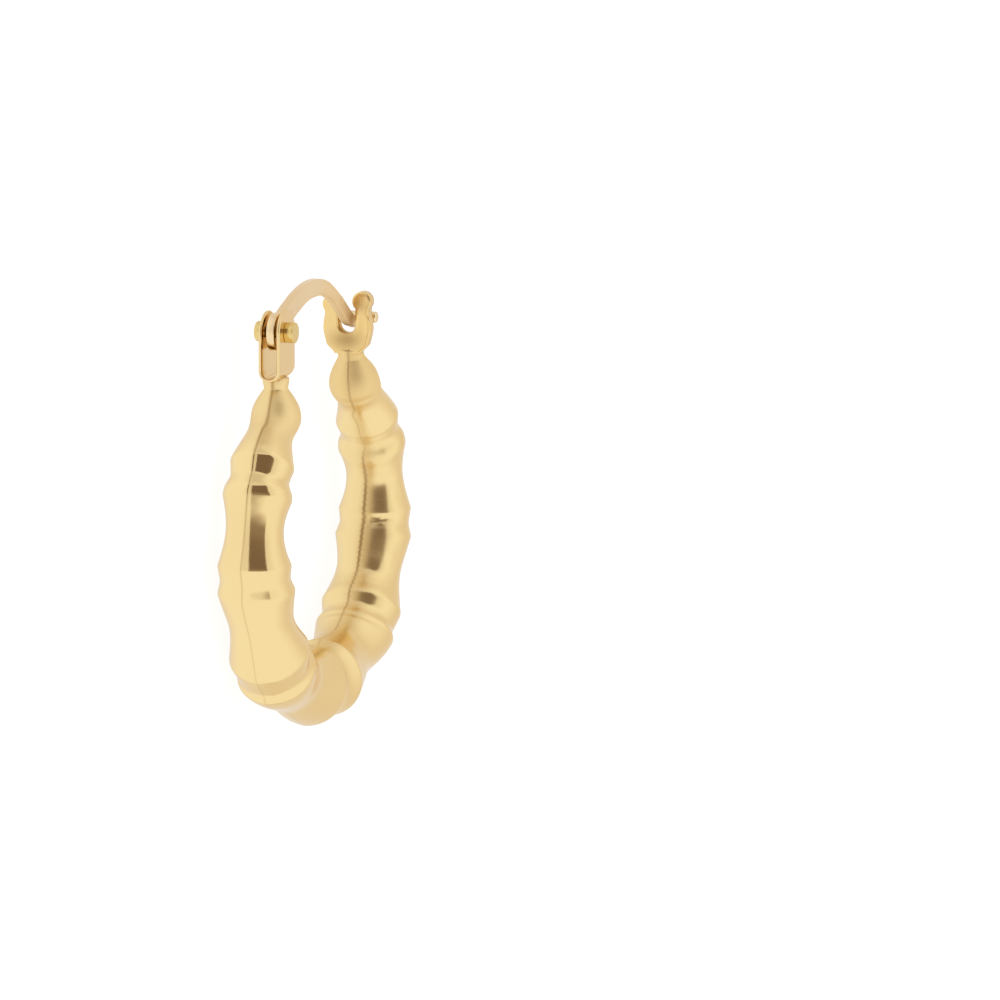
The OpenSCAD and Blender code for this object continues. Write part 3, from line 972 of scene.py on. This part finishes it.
# %% The tent
WALL = 1.04
GAP_TURN = ((2.0, 7.0), (59.0, 65.0))
GAP_RISE = ((-9.0, 5.0), (45.0, 51.0))
GAP_TONE = 0.32
GAP_DEEP_RISE = (4.0, 24.0)
GAP_DEEP_TONE = 0.66
HALO_TURN = ((-42.0, -15.0), (62.0, 100.0))
HALO_RISE = (-8.0, 14.0)
HALO_TONE = 0.86
TOP_RISE = (50.0, 80.0)
TOP_TONE = 0.85
GREEN_POWER = 1.2
BLUE_POWER = 1.34
BACK_TURN = (95.0, 150.0)
BACK_TONE = (0.83, 0.77, 0.71, 1)


def soft_step(tree, value, start, stop):
    """Node output that goes from 0 at start to 1 at stop, rounded at both ends."""
    node = add_node(tree, "ShaderNodeMapRange", interpolation_type="SMOOTHSTEP")
    node.inputs["From Min"].default_value = start
    node.inputs["From Max"].default_value = stop
    tree.links.new(value, node.inputs["Value"])
    return node.outputs["Result"]


def joined(tree, operation, a, b):
    """Node output of a maths operation on two outputs, or on an output and a number."""
    node = add_node(tree, "ShaderNodeMath", operation=operation)
    for socket, value in zip(node.inputs, (a, b)):
        if isinstance(value, (int, float)):
            socket.default_value = value
        else:
            tree.links.new(value, socket)
    return node.outputs["Value"]


def blended(tree, share, first, second):
    """Node output of a colour that goes from first to second with share; each is an output or a colour."""
    node = add_node(tree, "ShaderNodeMix", data_type="RGBA")
    tree.links.new(share, node.inputs["Factor"])
    for socket, value in ((node.inputs["A"], first), (node.inputs["B"], second)):
        if isinstance(value, tuple):
            socket.default_value = value
        else:
            tree.links.new(value, socket)
    return node.outputs["Result"]


world = bpy.data.worlds.new("tent")
bpy.context.scene.world = world
world.use_nodes = True
tent = world.node_tree
background = tent.nodes["Background"]
direction = tent.nodes.new("ShaderNodeTexCoord")
split = tent.nodes.new("ShaderNodeSeparateXYZ")
tent.links.new(direction.outputs["Generated"], split.inputs["Vector"])
facing = joined(tent, "MULTIPLY", split.outputs["X"], -1)
turn = joined(tent, "MULTIPLY", joined(tent, "ARCTAN2", split.outputs["Z"], facing), 180 / math.pi)
rise = joined(tent, "MULTIPLY", joined(tent, "ARCSINE", split.outputs["Y"], 0), 180 / math.pi)


def window(tree, value, edges):
    """Node output that is 1 between two soft edges and 0 outside them."""
    after = soft_step(tree, value, *edges[0])
    before = joined(tree, "SUBTRACT", 1, soft_step(tree, value, *edges[1]))
    return joined(tree, "MULTIPLY", after, before)


def toned(tree, base, share, tone):
    """Node output of base times a factor that goes from 1 to tone with share."""
    factor = joined(tree, "ADD", joined(tree, "MULTIPLY", share, tone - 1), 1)
    return joined(tree, "MULTIPLY", base, factor)


gap = joined(tent, "MULTIPLY", window(tent, turn, GAP_TURN), window(tent, rise, GAP_RISE))
halo = joined(tent, "MULTIPLY", window(tent, turn, HALO_TURN), soft_step(tent, rise, *HALO_RISE))
around_gap = toned(tent, toned(tent, WALL, halo, HALO_TONE), soft_step(tent, rise, *TOP_RISE), TOP_TONE)
gap_tone = toned(tent, GAP_TONE, soft_step(tent, rise, *GAP_DEEP_RISE), GAP_DEEP_TONE)
deep = joined(tent, "ADD", joined(tent, "MULTIPLY", gap, gap_tone),
              joined(tent, "MULTIPLY", joined(tent, "SUBTRACT", 1, gap), around_gap))
warm = add_node(tent, "ShaderNodeCombineColor")
tent.links.new(deep, warm.inputs["Red"])
tent.links.new(joined(tent, "POWER", deep, GREEN_POWER), warm.inputs["Green"])
tent.links.new(joined(tent, "POWER", deep, BLUE_POWER), warm.inputs["Blue"])
behind = soft_step(tent, joined(tent, "ABSOLUTE", turn, 0), *BACK_TURN)
back_wall = blended(tent, behind, (1, 1, 1, 1), BACK_TONE)
whole = add_node(tent, "ShaderNodeMix", data_type="RGBA", blend_type="MULTIPLY")
whole.inputs["Factor"].default_value = 1
tent.links.new(warm.outputs["Color"], whole.inputs["A"])
tent.links.new(back_wall, whole.inputs["B"])
path = tent.nodes.new("ShaderNodeLightPath")
tone = blended(tent, path.outputs["Is Glossy Ray"], (1, 1, 1, 1), whole.outputs["Result"])
tent.links.new(tone, background.inputs["Color"])

# %% The camera
CAMERA_TURN = math.radians(19.42)
CAMERA_RISE = math.radians(9.82)
CAMERA_AWAY = 600.0
PIXELS_PER_MM = 20.0
IMAGE_WIDE = 1000.0
SENSOR_WIDE = 36.0
MARK = CENTRE - np.array([0, 1, 0])
MARK_PIXEL = (315.42, 553.68)


def facing_axes(back):
    """Right, up and back of a camera whose back points away from its subject and whose picture is upright
    along Y."""
    back = back / np.linalg.norm(back)
    right = np.cross([0, 1, 0], back)
    right /= np.linalg.norm(right)
    return right, np.cross(back, right), back


away = np.array([-math.cos(CAMERA_TURN) * math.cos(CAMERA_RISE), math.sin(CAMERA_RISE),
                 math.sin(CAMERA_TURN) * math.cos(CAMERA_RISE)])
right, up, back = facing_axes(away)
aside, above = IMAGE_WIDE / 2 - MARK_PIXEL[0], MARK_PIXEL[1] - IMAGE_WIDE / 2
aim = MARK + (right * aside + up * above) / PIXELS_PER_MM
place = MARK + CAMERA_AWAY * away
right, up, back = facing_axes(place - aim)
camera_data = bpy.data.cameras.new("camera")
camera_data.sensor_width = SENSOR_WIDE
camera_data.lens = CAMERA_AWAY * PIXELS_PER_MM / IMAGE_WIDE * SENSOR_WIDE
camera_data.clip_start = 0.01
camera_data.clip_end = 20
camera = bpy.data.objects.new("camera", camera_data)
bpy.context.scene.collection.objects.link(camera)
turned_axes = Matrix([[*row] for row in np.stack([right, up, back], axis=1)]).to_4x4()
camera.matrix_world = Matrix.Translation(Vector(place * MM)) @ turned_axes
bpy.context.scene.camera = camera
bpy.context.scene.view_settings.view_transform = "Standard"
